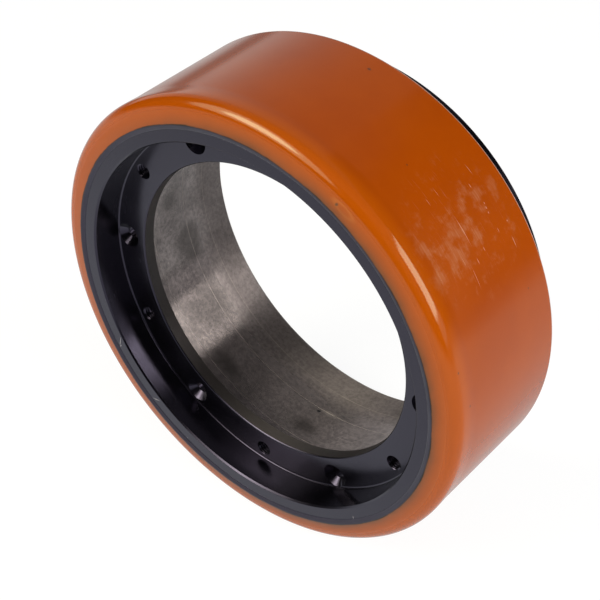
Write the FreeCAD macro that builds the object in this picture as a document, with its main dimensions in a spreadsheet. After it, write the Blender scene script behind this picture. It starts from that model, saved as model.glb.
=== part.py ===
"""Drive wheel of a powered pallet truck: a turned steel rim and the tread bonded to it.

Millimetres. The wheel turns about Y, its front looks towards -Y, and Z is up. The origin
is on the axis, halfway through the bore of the bolt flange.
"""
import FreeCAD, Part
import os

import Sketcher

# Driving dimensions: alias, value, what it measures
SIZES = [
    ("barrel_d", "202", "outside diameter of the rim's barrel, where the tread is bonded"),
    ("barrel_wall", "6.5", "wall of the barrel at both recesses"),
    ("front_recess_depth", "16", "from the rim's front face to the bolt flange"),
    ("flange_thick", "7", "thickness of the bolt flange"),
    ("flange_reach", "17", "from the barrel's wall in to the hub bore"),
    ("rear_reach", "15.5", "how far the barrel stands out behind the tread"),
    ("mouth_chamfer", "0.8", "at the mouth of the front recess"),
    ("bore_chamfer", "0.6", "at both ends of the hub bore"),
    ("rear_lead", "2.2", "lead-in chamfer for the hub, inside the barrel's rear end"),
    ("rear_edge", "0.6", "chamfer outside the barrel's rear end"),
    ("root_bevel", "0.6", "where the bolt flange meets the barrel"),
    ("screw_count", "6", "countersunk holes, with a tapped hole between each two"),
    ("screw_phase", "57.4", "angle of one countersunk hole from X towards Z, degrees"),
    ("screw_hole_d", "6.4", "clearance hole of an M6 screw"),
    ("screw_sink_d", "12.7", "mouth of the countersink"),
    ("sink_angle", "90", "included angle of the countersinks, degrees"),
    ("sink_margin", "0.15", "between the countersink's mouth and the barrel's wall"),
    ("tap_core_d", "6.8", "core of an M8 thread"),
    ("tap_mouth_d", "8", "mouth of the tapped hole's chamfer"),
    ("tread_depth", "13.7", "tread over the barrel, at the running face"),
    ("tread_width", "77", "tread from its lip to its rear face"),
    ("lip_rise", "0.9", "lip of the tread in front of the rim's face"),
    ("lip_width", "2", "from the barrel out to the lip's crest"),
    ("side_fall", "3", "how far the front side leans back from the lip to the bead"),
    ("shoulder_radius", "5.6", "front shoulder"),
    ("bead_rise", "0.3", "bead at the shoulder over the running face"),
    ("bead_flat", "0.4", "flat crest of the bead past the shoulder's own depth"),
    ("bead_fade", "6.5", "from there to where the bead has run out"),
    ("rear_bevel", "1.6", "bevel at the rear edge of the tread"),
]

# Radii and stations of the rim, in the sheet's own terms: stations start at its front face
BARREL = "sizes.barrel_d / 2"
RECESS = "sizes.barrel_d / 2 - sizes.barrel_wall"
BORE = "sizes.barrel_d / 2 - sizes.barrel_wall - sizes.flange_reach"
FRONT = "0"
FLANGE_FRONT = "sizes.front_recess_depth"
FLANGE_REAR = "sizes.front_recess_depth + sizes.flange_thick"
BARREL_REAR = "sizes.tread_width - sizes.lip_rise + sizes.rear_reach"
BOLT_CIRCLE = RECESS + " - sizes.sink_margin - sizes.screw_sink_d / 2"

# Radii and stations of the tread: stations start at the crest of its lip
LIP = "sizes.barrel_d / 2 + sizes.lip_width"
RUNNING_FACE = "sizes.barrel_d / 2 + sizes.tread_depth"
BEAD = "sizes.barrel_d / 2 + sizes.tread_depth + sizes.bead_rise"
CREST = "0"
SEAM = "sizes.lip_rise"
SHOULDER = "sizes.side_fall"
BEAD_END = "sizes.side_fall + sizes.shoulder_radius + sizes.bead_flat"
BEAD_GONE = "sizes.side_fall + sizes.shoulder_radius + sizes.bead_flat + sizes.bead_fade"
TREAD_REAR = "sizes.tread_width"

# The origin lies halfway through the bolt flange
RIM_PLACE = "-(sizes.front_recess_depth + sizes.flange_thick / 2)"
TREAD_PLACE = RIM_PLACE + " - sizes.lip_rise"

HALF_PITCH = "180 / sizes.screw_count"
FULL_TURN = 360
SAME = 1e-4


def make_sheet(doc):
    """Puts the driving dimensions on a sheet, one aliased number in each row."""
    sheet = doc.addObject("Spreadsheet::Sheet", "sizes")
    for row, (alias, value, meaning) in enumerate(SIZES, start=1):
        sheet.set("A%d" % row, meaning)
        sheet.set("B%d" % row, value)
        sheet.setAlias("B%d" % row, alias)
    doc.recompute()
    return sheet


def value_of(sheet, expression):
    """Works an expression out to a plain number."""
    return float(sheet.evalExpression(expression))


def origin_feature(body, role):
    """Finds one of the body's own origin planes or axes."""
    return next(item for item in body.Origin.OriginFeatures if item.Role == role)


def make_body(doc, name, place):
    """Starts a sub-part whose stations are shifted along the wheel's axis to their place."""
    body = doc.addObject("PartDesign::Body", name)
    body.Label = name
    body.setExpression("Placement.Base.y", place)
    return body


def dimension(sketch, name, constraint, expression):
    """Adds a named dimension to a sketch and binds it to the sheet."""
    index = sketch.addConstraint(constraint)
    sketch.renameConstraint(index, name)
    sketch.setExpression("Constraints." + name, expression)


def tie(sketch, kind, name, corner, expression):
    """Dimensions one corner of an outline from the sketch's origin."""
    distance = value_of(sketch.Document.sizes, expression)
    if distance == 0:
        axis = -1 if kind == "DistanceY" else -2
        sketch.addConstraint(Sketcher.Constraint("PointOnObject", corner, 1, axis))
        return
    constraint = Sketcher.Constraint(kind, -1, 1, corner, 1, distance)
    dimension(sketch, name, constraint, expression)


def round_corner(sketch, name, corner, expression):
    """Rounds one corner of an outline by a tangent arc, and keeps the corner's dimensions."""
    radius = value_of(sketch.Document.sizes, expression)
    arc = sketch.GeometryCount
    sketch.fillet(corner, 1, radius, True, True)
    dimension(sketch, name, Sketcher.Constraint("Radius", arc, radius), expression)


def turned_section(body, name, corners, rounds):
    """Draws a closed half section from named corners and turns it about Y.

    A corner is a name, a radius and a station. Those named in rounds get that radius.
    """
    sizes = body.Document.sizes
    sketch = body.newObject("Sketcher::SketchObject", name + "_section")
    sketch.AttachmentSupport = [(origin_feature(body, "XY_Plane"), "")]
    sketch.MapMode = "FlatFace"
    points = []
    for _, radius, station in corners:
        points.append(FreeCAD.Vector(value_of(sizes, radius), value_of(sizes, station), 0))
    for corner, start in enumerate(points):
        end = points[(corner + 1) % len(points)]
        sketch.addGeometry(Part.LineSegment(start, end), False)
    for corner, (label, radius, station) in enumerate(corners):
        last = (corner - 1) % len(corners)
        sketch.addConstraint(Sketcher.Constraint("Coincident", last, 2, corner, 1))
        _, last_radius, last_station = corners[last]
        if corner > 0 and radius == last_radius:
            sketch.addConstraint(Sketcher.Constraint("Vertical", last))
        else:
            tie(sketch, "DistanceX", label + "_out", corner, radius)
        if corner > 0 and station == last_station:
            sketch.addConstraint(Sketcher.Constraint("Horizontal", last))
        else:
            tie(sketch, "DistanceY", label + "_along", corner, station)
    for corner, (label, _, _) in enumerate(corners):
        if label in rounds:
            round_corner(sketch, label + "_round", corner, rounds[label])
    turned = body.newObject("PartDesign::Revolution", name + "_turned")
    turned.Profile = sketch
    turned.ReferenceAxis = (sketch, ["V_Axis"])
    turned.Angle = FULL_TURN
    body.Document.recompute()


def ring_edge(feature, radius, station):
    """Names the circular edge at a radius and a station of a turned shape."""
    sizes = feature.Document.sizes
    ring_radius = value_of(sizes, radius)
    ring_station = value_of(sizes, station)
    for number, edge in enumerate(feature.Shape.Edges, start=1):
        curve = edge.Curve
        if not isinstance(curve, Part.Circle):
            continue
        if abs(curve.Radius - ring_radius) < SAME and abs(curve.Center.y - ring_station) < SAME:
            return "Edge%d" % number
    raise RuntimeError("no edge at %s, %s" % (radius, station))


def bevel(body, name, rings, size):
    """Bevels the ring edges at the radii and stations given, by a size on the sheet."""
    base = body.Tip
    chamfer = body.newObject("PartDesign::Chamfer", name)
    chamfer.Base = (base, [ring_edge(base, radius, station) for radius, station in rings])
    chamfer.setExpression("Size", size)
    body.Document.recompute()


def hole_ring(body, name, diameter, mouth, phase):
    """Drills one hole with a conical mouth through the bolt flange, and repeats it round.

    The drill starts above the root bevel, so that a mouth near the barrel clears it.
    """
    doc = body.Document
    sketch = body.newObject("Sketcher::SketchObject", name + "_place")
    sketch.AttachmentSupport = [(origin_feature(body, "XZ_Plane"), "")]
    sketch.MapMode = "FlatFace"
    sketch.setExpression("AttachmentOffset.Base.z", "sizes.root_bevel - (%s)" % FLANGE_FRONT)
    reach = value_of(doc.sizes, BOLT_CIRCLE)
    radius = value_of(doc.sizes, diameter) / 2
    turn = FreeCAD.Units.Quantity(value_of(doc.sizes, phase), FreeCAD.Units.Angle)
    direction = FreeCAD.Rotation(FreeCAD.Vector(0, 0, 1), turn.Value)
    centre = direction.multVec(FreeCAD.Vector(reach, 0, 0))
    spoke = sketch.addGeometry(Part.LineSegment(FreeCAD.Vector(), centre), True)
    rim = sketch.addGeometry(Part.Circle(centre, FreeCAD.Vector(0, 0, 1), radius), False)
    sketch.addConstraint(Sketcher.Constraint("Coincident", spoke, 1, -1, 1))
    sketch.addConstraint(Sketcher.Constraint("Coincident", rim, 3, spoke, 2))
    dimension(sketch, "bolt_circle", Sketcher.Constraint("Distance", spoke, reach), BOLT_CIRCLE)
    dimension(sketch, "turn", Sketcher.Constraint("Angle", spoke, turn), "(%s) * 1 deg" % phase)
    dimension(sketch, "width", Sketcher.Constraint("Diameter", rim, 2 * radius), diameter)
    doc.recompute()
    uncut = body.Tip.Shape.Volume
    hole = body.newObject("PartDesign::Hole", name)
    hole.Profile = sketch
    doc.recompute()
    hole.ThreadType = "None"
    hole.DepthType = "ThroughAll"
    hole.HoleCutType = "Counterdrill"
    hole.HoleCutCustomValues = True
    hole.setExpression("Diameter", diameter)
    hole.setExpression("HoleCutDiameter", mouth)
    hole.setExpression("HoleCutDepth", "sizes.root_bevel")
    hole.setExpression("HoleCutCountersinkAngle", "sizes.sink_angle * 1 deg")
    doc.recompute()
    if hole.Shape.Volume >= uncut:
        raise RuntimeError(name + " cuts nothing")
    ring = body.newObject("PartDesign::PolarPattern", name + "_ring")
    ring.Originals = [hole]
    ring.Axis = (origin_feature(body, "Y_Axis"), [""])
    ring.Angle = FULL_TURN
    ring.setExpression("Occurrences", "sizes.screw_count")
    body.Tip = ring
    doc.recompute()


def make_rim(doc):
    """The rim: a barrel with a bolt flange inside it, turned from one piece of steel."""
    body = make_body(doc, "rim", RIM_PLACE)
    corners = [
        ("mouth", RECESS, FRONT),
        ("face", BARREL, FRONT),
        ("tail", BARREL, BARREL_REAR),
        ("lead_in", RECESS, BARREL_REAR),
        ("rear_root", RECESS, FLANGE_REAR),
        ("bore_rear", BORE, FLANGE_REAR),
        ("bore_front", BORE, FLANGE_FRONT),
        ("front_root", RECESS, FLANGE_FRONT),
    ]
    turned_section(body, "rim", corners, {})
    roots = [(RECESS, FLANGE_FRONT), (RECESS, FLANGE_REAR)]
    bore_ends = [(BORE, FLANGE_FRONT), (BORE, FLANGE_REAR)]
    bevel(body, "flange_roots", roots, "sizes.root_bevel")
    bevel(body, "recess_mouth", [(RECESS, FRONT)], "sizes.mouth_chamfer")
    bevel(body, "bore_ends", bore_ends, "sizes.bore_chamfer")
    bevel(body, "hub_lead_in", [(RECESS, BARREL_REAR)], "sizes.rear_lead")
    bevel(body, "tail_edge", [(BARREL, BARREL_REAR)], "sizes.rear_edge")
    hole_ring(body, "screw_hole", "sizes.screw_hole_d", "sizes.screw_sink_d", "sizes.screw_phase")
    tapped_phase = "sizes.screw_phase - " + HALF_PITCH
    hole_ring(body, "tapped_hole", "sizes.tap_core_d", "sizes.tap_mouth_d", tapped_phase)
    return body


def make_tread(doc):
    """The tread: a moulded ring with a lip against the rim, a round shoulder and a low bead."""
    body = make_body(doc, "tread", TREAD_PLACE)
    corners = [
        ("seam", BARREL, SEAM),
        ("lip", LIP, CREST),
        ("shoulder", BEAD, SHOULDER),
        ("bead_end", BEAD, BEAD_END),
        ("bead_gone", RUNNING_FACE, BEAD_GONE),
        ("rear_edge", RUNNING_FACE, TREAD_REAR),
        ("rear_seam", BARREL, TREAD_REAR),
    ]
    turned_section(body, "tread", corners, {"shoulder": "sizes.shoulder_radius"})
    bevel(body, "tread_rear_edge", [(RUNNING_FACE, TREAD_REAR)], "sizes.rear_bevel")
    return body


def check(doc, bodies):
    """Stops if any object failed to build or a sub-part isn't one sound solid."""
    for item in doc.Objects:
        if "Invalid" in item.State or "Error" in item.State:
            raise RuntimeError(item.Name + " failed to build")
    for body in bodies:
        shape = body.Shape
        if shape.isNull() or not shape.isValid() or len(shape.Solids) != 1:
            raise RuntimeError(body.Label + " isn't one sound solid")


def main():
    """Builds the wheel and writes each sub-part to its own file."""
    doc = FreeCAD.newDocument("drive_wheel")
    make_sheet(doc)
    bodies = [make_rim(doc), make_tread(doc)]
    doc.recompute()
    check(doc, bodies)
    os.makedirs("parts", exist_ok=True)
    for body in bodies:
        body.Shape.exportStep("parts/%s.step" % body.Label)


main()
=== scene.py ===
"""Drive wheel of a powered pallet truck: a turned steel rim with a bonded polyurethane tread.

Metres. The wheel turns about Y, its front looks towards -Y and Z is up. The origin is on the
axis, halfway through the bore of the bolt flange. Angles round the wheel start at +X and go
towards +Z. Directions in the studio are an azimuth, from -Y towards +X, and an elevation.
"""
import logging
import math
from collections.abc import Callable
from dataclasses import dataclass, field
from enum import Enum
from functools import partial, reduce

import bmesh
import bpy
from mathutils import Matrix, Vector


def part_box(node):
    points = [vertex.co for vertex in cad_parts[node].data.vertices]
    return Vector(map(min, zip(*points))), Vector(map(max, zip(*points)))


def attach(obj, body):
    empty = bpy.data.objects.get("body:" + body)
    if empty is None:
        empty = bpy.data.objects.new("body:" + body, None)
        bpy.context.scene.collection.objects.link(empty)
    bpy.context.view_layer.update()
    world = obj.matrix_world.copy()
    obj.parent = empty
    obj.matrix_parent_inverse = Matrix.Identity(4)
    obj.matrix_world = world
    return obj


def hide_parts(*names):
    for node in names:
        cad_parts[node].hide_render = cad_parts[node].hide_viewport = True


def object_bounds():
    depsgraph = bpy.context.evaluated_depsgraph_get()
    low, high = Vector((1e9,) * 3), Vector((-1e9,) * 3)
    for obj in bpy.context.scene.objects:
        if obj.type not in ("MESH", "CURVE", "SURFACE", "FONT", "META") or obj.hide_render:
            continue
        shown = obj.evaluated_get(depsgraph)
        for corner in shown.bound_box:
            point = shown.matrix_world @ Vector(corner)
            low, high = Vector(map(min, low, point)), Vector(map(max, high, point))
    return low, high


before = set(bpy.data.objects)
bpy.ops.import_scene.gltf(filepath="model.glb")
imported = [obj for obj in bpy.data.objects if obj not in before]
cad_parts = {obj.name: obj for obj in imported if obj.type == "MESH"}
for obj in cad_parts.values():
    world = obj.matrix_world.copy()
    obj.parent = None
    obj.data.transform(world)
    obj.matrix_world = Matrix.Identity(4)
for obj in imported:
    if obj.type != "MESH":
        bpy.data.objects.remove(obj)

CAD_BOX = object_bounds()
LOG = logging.getLogger("drive_wheel")

MM = 0.001
FULL_TURN = 2 * math.pi
AXIS = Vector((0.0, 1.0, 0.0))
MERGE = 0.001 * MM
SAME_PLACE = 0.01 * MM
SMOOTH_BELOW = math.radians(35)
NOISE_MIDDLE = 0.5
WARM = (1.0, 0.97, 0.80)
MILD = (1.0, 0.98, 0.92)

Socket = bpy.types.NodeSocket
Colour = tuple[float, float, float, float]
Given = float | tuple | Vector | Socket


class Node(Enum):
    """CAD nodes that the dressed pieces stand for."""

    RIM = "rim"
    TREAD = "tread"


class Slot(Enum):
    """Material slots of the record."""

    RIM = "rim_paint"
    TREAD = "tread_polyurethane"


class LampShape(Enum):
    """Outlines of the studio's soft lamps."""

    PANEL = "RECTANGLE"
    DISH = "ELLIPSE"


class Falloff(Enum):
    """How a mask rises from its low to its high end."""

    EVEN = "LINEAR"
    SOFT = "SMOOTHSTEP"


def round_the_wheel(angle: float, radius: float, station: float = 0.0) -> Vector:
    """Finds a point of the wheel.

    Args:
        angle: degrees from +X towards +Z.
        radius: distance from the axis.
        station: place along the axis.

    Returns:
        The point in the wheel's frame.
    """
    turn = math.radians(angle)
    return Vector((radius * math.cos(turn), station, radius * math.sin(turn)))


def towards(azimuth: float, elevation: float) -> Vector:
    """Finds a direction in the studio.

    Args:
        azimuth: degrees from -Y towards +X.
        elevation: degrees above the horizon.

    Returns:
        A unit vector from the wheel outwards.
    """
    turn = math.radians(azimuth)
    rise = math.radians(elevation)
    level = math.cos(rise)
    return Vector((level * math.sin(turn), -level * math.cos(turn), math.sin(rise)))


# Modelling by hand: the steps that every piece shares


def deselect_all() -> None:
    """Leaves edit mode and deselects every object."""
    if bpy.context.mode != "OBJECT":
        bpy.ops.object.mode_set(mode="OBJECT")
    bpy.ops.object.select_all(action="DESELECT")


def take(piece: bpy.types.Object) -> None:
    """Makes one object the selected and active one.

    Args:
        piece: the object.
    """
    deselect_all()
    piece.select_set(True)
    bpy.context.view_layer.objects.active = piece


def edit(piece: bpy.types.Object) -> None:
    """Opens one object in edit mode with all of its mesh selected, by its vertices.

    Args:
        piece: the object.
    """
    take(piece)
    bpy.context.tool_settings.mesh_select_mode = (True, False, False)
    bpy.ops.object.mode_set(mode="EDIT")
    bpy.ops.mesh.select_all(action="SELECT")


def pick_vertex(piece: bpy.types.Object, place: Vector) -> None:
    """Selects the one vertex at a place, in edit mode.

    Args:
        piece: the object that is open in edit mode.
        place: where the vertex is.
    """
    bpy.ops.mesh.select_all(action="DESELECT")
    mesh = bmesh.from_edit_mesh(piece.data)
    for vertex in mesh.verts:
        vertex.select = (vertex.co - place).length < SAME_PLACE
    mesh.select_flush_mode()
    bmesh.update_edit_mesh(piece.data)


def pick_faces(piece: bpy.types.Object, wanted: Callable[[bmesh.types.BMFace], bool]) -> None:
    """Selects the faces that a test wants, in edit mode.

    Args:
        piece: the object that is open in edit mode.
        wanted: the test, by a face's place or normal.
    """
    bpy.context.tool_settings.mesh_select_mode = (False, False, True)
    bpy.ops.mesh.select_all(action="DESELECT")
    mesh = bmesh.from_edit_mesh(piece.data)
    for face in mesh.faces:
        face.select = wanted(face)
    mesh.select_flush_mode()
    bmesh.update_edit_mesh(piece.data)


def clean_surface() -> None:
    """Merges doubles and turns the faces outwards, in edit mode."""
    bpy.ops.mesh.select_all(action="SELECT")
    bpy.ops.mesh.remove_doubles(threshold=MERGE)
    bpy.ops.mesh.normals_make_consistent(inside=False)


def apply_modifier(piece: bpy.types.Object, kind: str, settings: dict[str, object]) -> None:
    """Adds a modifier to an object and applies it.

    Args:
        piece: the object.
        kind: Blender's name of the modifier's type.
        settings: its properties by name.
    """
    take(piece)
    modifier = piece.modifiers.new(kind.lower(), kind)
    for name, value in settings.items():
        setattr(modifier, name, value)
    bpy.ops.object.modifier_apply(modifier=modifier.name)


def smooth(piece: bpy.types.Object) -> None:
    """Smooths the rounds of a finished piece and keeps its flats flat.

    Args:
        piece: the piece.
    """
    take(piece)
    bpy.ops.object.shade_smooth_by_angle(angle=SMOOTH_BELOW)
    apply_modifier(piece, "WEIGHTED_NORMAL", {"keep_sharp": True, "weight": 90})


@dataclass(frozen=True)
class Corner:
    """One corner of a turned section.

    Attributes:
        radius: distance from the axis.
        station: place along the axis.
        soft: how far from the corner its round starts.
        steps: how many faces make the round.
    """

    radius: float
    station: float
    soft: float = 0.0
    steps: int = 3

    @property
    def place(self) -> Vector:
        """The corner in the plane that the section is drawn in."""
        return Vector((self.radius, self.station, 0.0))


@dataclass
class Lathe:
    """Draws a half section and turns it about the wheel's axis.

    Attributes:
        name: name of the object that it makes.
        corners: the section's corners in order.
        steps: how many faces go round.
    """

    name: str
    corners: list[Corner]
    steps: int

    def draw(self, closed: bool) -> bpy.types.Object:
        """Draws the section's outline, a vertex at a time.

        Args:
            closed: whether the outline runs back to its first corner.

        Returns:
            The object, open in edit mode.
        """
        deselect_all()
        bpy.ops.mesh.primitive_plane_add(size=MM)
        piece = bpy.context.object
        piece.name = self.name
        edit(piece)
        bpy.ops.mesh.merge(type="CENTER")
        route = [corner.place for corner in self.corners]
        if closed:
            route.append(route[0])
        bpy.ops.transform.translate(value=route[0])
        for start, end in zip(route, route[1:]):
            bpy.ops.mesh.extrude_vertices_move(TRANSFORM_OT_translate={"value": end - start})
        return piece

    def soften(self, piece: bpy.types.Object) -> None:
        """Rounds the corners of a closed outline.

        Args:
            piece: the outline, open in edit mode.
        """
        bpy.ops.mesh.select_all(action="SELECT")
        bpy.ops.mesh.remove_doubles(threshold=MERGE)
        bpy.ops.mesh.edge_face_add()
        for corner in self.corners:
            if corner.soft > 0:
                pick_vertex(piece, corner.place)
                bpy.ops.mesh.bevel(offset=corner.soft, segments=corner.steps, affect="VERTICES")
        bpy.ops.mesh.select_all(action="SELECT")
        bpy.ops.mesh.delete(type="ONLY_FACE")

    def turn(self, closed: bool) -> bpy.types.Object:
        """Turns the section into a closed surface.

        Args:
            closed: True for a ring, False for a plug whose outline starts and ends on the axis.

        Returns:
            The turned object, in object mode.
        """
        piece = self.draw(closed)
        if closed:
            self.soften(piece)
        bpy.ops.mesh.select_all(action="SELECT")
        bpy.ops.mesh.spin(steps=self.steps, angle=FULL_TURN, center=(0, 0, 0), axis=AXIS)
        clean_surface()
        deselect_all()
        return piece


def ring_of(piece: bpy.types.Object, count: int) -> bpy.types.Object:
    """Repeats an object round the wheel and joins the copies, each with its own mesh.

    Args:
        piece: the first one, at its place.
        count: how many there are in all.

    Returns:
        The joined object.
    """
    copies = [piece]
    for number in range(1, count):
        take(piece)
        bpy.ops.object.duplicate(linked=False)
        copy = bpy.context.object
        edit(copy)
        pitch = number * FULL_TURN / count
        bpy.ops.transform.rotate(value=pitch, orient_axis="Y", center_override=(0, 0, 0))
        copies.append(copy)
    take(piece)
    for copy in copies:
        copy.select_set(True)
    bpy.ops.object.join()
    return piece


def shift(piece: bpy.types.Object, step: Vector) -> None:
    """Moves an object's mesh, and leaves its origin where it is.

    Args:
        piece: the object.
        step: how far, and in which direction.
    """
    edit(piece)
    bpy.ops.transform.translate(value=step)
    deselect_all()


def cut(piece: bpy.types.Object, cutter: bpy.types.Object) -> None:
    """Cuts one object out of another and removes the cutter.

    Args:
        piece: what is cut.
        cutter: what is taken out of it.
    """
    apply_modifier(
        piece, "BOOLEAN", {"operation": "DIFFERENCE", "solver": "EXACT", "object": cutter}
    )
    take(cutter)
    bpy.ops.object.delete()


# Finishes: node trees, the effects that they share, and the materials


class Graph:
    """Adds nodes to one node tree and links them."""

    def __init__(self, tree: bpy.types.NodeTree) -> None:
        """Starts with an empty tree."""
        self.tree = tree
        tree.nodes.clear()

    def feed(self, socket: Socket, given: Given) -> None:
        """Links a socket to another one, or sets its value.

        Args:
            socket: the input.
            given: an output to link, or a plain value.
        """
        if isinstance(given, Socket):
            self.tree.links.new(given, socket)
        else:
            socket.default_value = given

    def add(self, kind: str, inputs: dict, settings: dict | None = None) -> bpy.types.Node:
        """Adds a node.

        Args:
            kind: Blender's name of the node's type.
            inputs: values or sockets by the input's name or number.
            settings: the node's own properties by name.

        Returns:
            The node.
        """
        node = self.tree.nodes.new(kind)
        for name, value in (settings or {}).items():
            setattr(node, name, value)
        for name, given in inputs.items():
            self.feed(node.inputs[name], given)
        return node

    def math(self, operation: str, first: Given, second: Given = 0.0) -> Socket:
        """Adds a Math node.

        Args:
            operation: what it does.
            first: its first number.
            second: its second number.

        Returns:
            The result.
        """
        node = self.add("ShaderNodeMath", {0: first, 1: second}, {"operation": operation})
        return node.outputs[0]

    def vector(self, operation: str, first: Given, second: Given = (0, 0, 0)) -> bpy.types.Node:
        """Adds a Vector Math node.

        Args:
            operation: what it does.
            first: its first vector.
            second: its second vector.

        Returns:
            The node, whose outputs are named.
        """
        settings = {"operation": operation}
        return self.add("ShaderNodeVectorMath", {0: first, 1: second}, settings)

    def rise(
        self,
        value: Given,
        low: Given,
        high: Given,
        start: Given = 0.0,
        end: Given = 1.0,
        falloff: Falloff = Falloff.SOFT,
    ) -> Socket:
        """Maps a value that goes from low to high onto one that goes from start to end.

        Args:
            value: what is mapped.
            low: where the rise starts.
            high: where it ends.
            start: the result at low.
            end: the result at high.
            falloff: the shape of the rise.

        Returns:
            The result, clamped at both ends.
        """
        inputs = {0: value, 1: low, 2: high, 3: start, 4: end}
        node = self.add("ShaderNodeMapRange", inputs, {"interpolation_type": falloff.value})
        return node.outputs[0]

    def times(self, *factors: Given) -> Socket:
        """Multiplies values with one another."""
        return reduce(partial(self.math, "MULTIPLY"), factors)

    def most(self, *masks: Given) -> Socket:
        """Joins masks by the strongest at each place."""
        return reduce(partial(self.math, "MAXIMUM"), masks)

    def gap(self, first: Given, second: Given) -> Socket:
        """Finds how far apart two values are."""
        return self.math("ABSOLUTE", self.math("SUBTRACT", first, second))

    def blend(self, share: Given, first: Given, second: Given) -> Socket:
        """Mixes two colours.

        Args:
            share: how much of the second there is.
            first: the first colour.
            second: the second colour.

        Returns:
            The mixed colour.
        """
        node = self.add("ShaderNodeMix", {0: share, 6: first, 7: second}, {"data_type": "RGBA"})
        return node.outputs[2]

    def coats(self, colour: Given, *coats: tuple[Given, float, Given]) -> Given:
        """Lays coats of colour over one another.

        Args:
            colour: the colour below.
            *coats: each coat's mask, how much of it shows at full mask, and its colour.

        Returns:
            The mixed colour.
        """
        for mask, share, over in coats:
            colour = self.blend(self.times(mask, share), colour, over)
        return colour

    def raised(self, value: Given, *steps: tuple[Given, Given]) -> Given:
        """Raises a value where masks want it.

        Args:
            value: the value.
            *steps: each mask, and by how much it raises the value where it is full.

        Returns:
            The raised value.
        """
        for mask, amount in steps:
            value = self.math("ADD", value, self.times(mask, amount))
        return value

    def noise(self, place: Given, scale: Given, detail: float, rough: float = 0.5) -> Socket:
        """Adds a noise texture.

        Args:
            place: where it is read.
            scale: features in a metre.
            detail: how many finer layers it has.
            rough: how strong the finer layers are.

        Returns:
            The noise, from 0 to 1.
        """
        inputs = {"Vector": place, "Scale": scale, "Detail": detail, "Roughness": rough}
        return self.add("ShaderNodeTexNoise", inputs).outputs[0]

    def object_place(self) -> Socket:
        """The place on the piece, in its own frame."""
        return self.add("ShaderNodeTexCoord", {}).outputs["Object"]

    def bump(self, height: Socket, depth: float, strength: float) -> Socket:
        """Adds a Bump node.

        Args:
            height: from 0 to 1.
            depth: how deep a height of 1 is.
            strength: how much of it shows.

        Returns:
            The bumped normal.
        """
        inputs = {"Height": height, "Distance": depth, "Strength": strength}
        return self.add("ShaderNodeBump", inputs).outputs[0]


@dataclass(frozen=True)
class Effect:
    """A shader node group with named sockets, built once and placed in each material.

    Attributes:
        name: the group's name.
        wire: fills the group, given a graph and the group's own inputs, and returns its outputs.
        numbers: names of the inputs that are plain numbers.
        vectors: names of the inputs that are places.
        outputs: names of its outputs, all plain numbers.
    """

    name: str
    wire: Callable[[Graph, dict[str, Socket]], tuple[Socket, ...]]
    numbers: tuple[str, ...] = ()
    vectors: tuple[str, ...] = ("Place",)
    outputs: tuple[str, ...] = ("Mask",)

    def tree(self) -> bpy.types.NodeTree:
        """Builds the group the first time, and finds it after that.

        Returns:
            The group's node tree.
        """
        built = bpy.data.node_groups.get(self.name)
        if built:
            return built
        tree = bpy.data.node_groups.new(self.name, "ShaderNodeTree")
        for name in self.vectors:
            tree.interface.new_socket(name, in_out="INPUT", socket_type="NodeSocketVector")
        for name in self.numbers:
            tree.interface.new_socket(name, in_out="INPUT", socket_type="NodeSocketFloat")
        for name in self.outputs:
            tree.interface.new_socket(name, in_out="OUTPUT", socket_type="NodeSocketFloat")
        graph = Graph(tree)
        entry = graph.add("NodeGroupInput", {})
        given = {name: entry.outputs[name] for name in self.vectors + self.numbers}
        graph.add("NodeGroupOutput", dict(zip(self.outputs, self.wire(graph, given))))
        return tree

    def place(self, graph: Graph, **given: Given) -> list[Socket]:
        """Places the group in a material.

        Args:
            graph: the material's graph.
            **given: values or sockets by the input's name.

        Returns:
            The group's outputs in order.
        """
        node = graph.add("ShaderNodeGroup", {}, {"node_tree": self.tree()})
        for name, value in given.items():
            graph.feed(node.inputs[name], value)
        return list(node.outputs)

    def mask(self, graph: Graph, place: Socket, **given: Given) -> Socket:
        """Places a group that has one output in a material, and gives that output."""
        return self.place(graph, Place=place, **given)[0]


def wire_wheel_place(graph: Graph, given: dict[str, Socket]) -> tuple[Socket, ...]:
    """Splits a place on the wheel into its radius and its station.

    Args:
        graph: the group's graph.
        given: the group's inputs.

    Returns:
        The radius and the station.
    """
    across = graph.vector("MULTIPLY", given["Place"], (1, 0, 1)).outputs["Vector"]
    radius = graph.vector("LENGTH", across).outputs["Value"]
    station = graph.add("ShaderNodeSeparateXYZ", {0: given["Place"]}).outputs["Y"]
    return radius, station


def wire_turned_lines(graph: Graph, given: dict[str, Socket]) -> tuple[Socket, ...]:
    """Draws fine lines that run round the wheel, on its walls and on its flat faces.

    Args:
        graph: the group's graph.
        given: the group's inputs.

    Returns:
        The lines, from 0 to 1.
    """
    radius, station = WHEEL_PLACE.place(graph, Place=given["Place"])
    across = graph.times(graph.math("ADD", radius, station), given["Across"])
    stepped = graph.add("ShaderNodeCombineXYZ", {"Y": across}).outputs[0]
    slow = graph.vector("SCALE", given["Place"])
    graph.feed(slow.inputs["Scale"], given["Around"])
    place = graph.vector("ADD", stepped, slow.outputs["Vector"]).outputs["Vector"]
    lines = graph.noise(place, 1.0, detail=3.0, rough=0.6)
    return (graph.rise(lines, given["Low"], given["High"]),)


def wire_blotches(graph: Graph, given: dict[str, Socket]) -> tuple[Socket, ...]:
    """Draws soft uneven blotches.

    Args:
        graph: the group's graph.
        given: the group's inputs.

    Returns:
        The blotches, from 0 to 1.
    """
    cloud = graph.noise(given["Place"], given["Scale"], detail=5.0, rough=0.55)
    return (graph.rise(cloud, given["Low"], given["High"]),)


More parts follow.
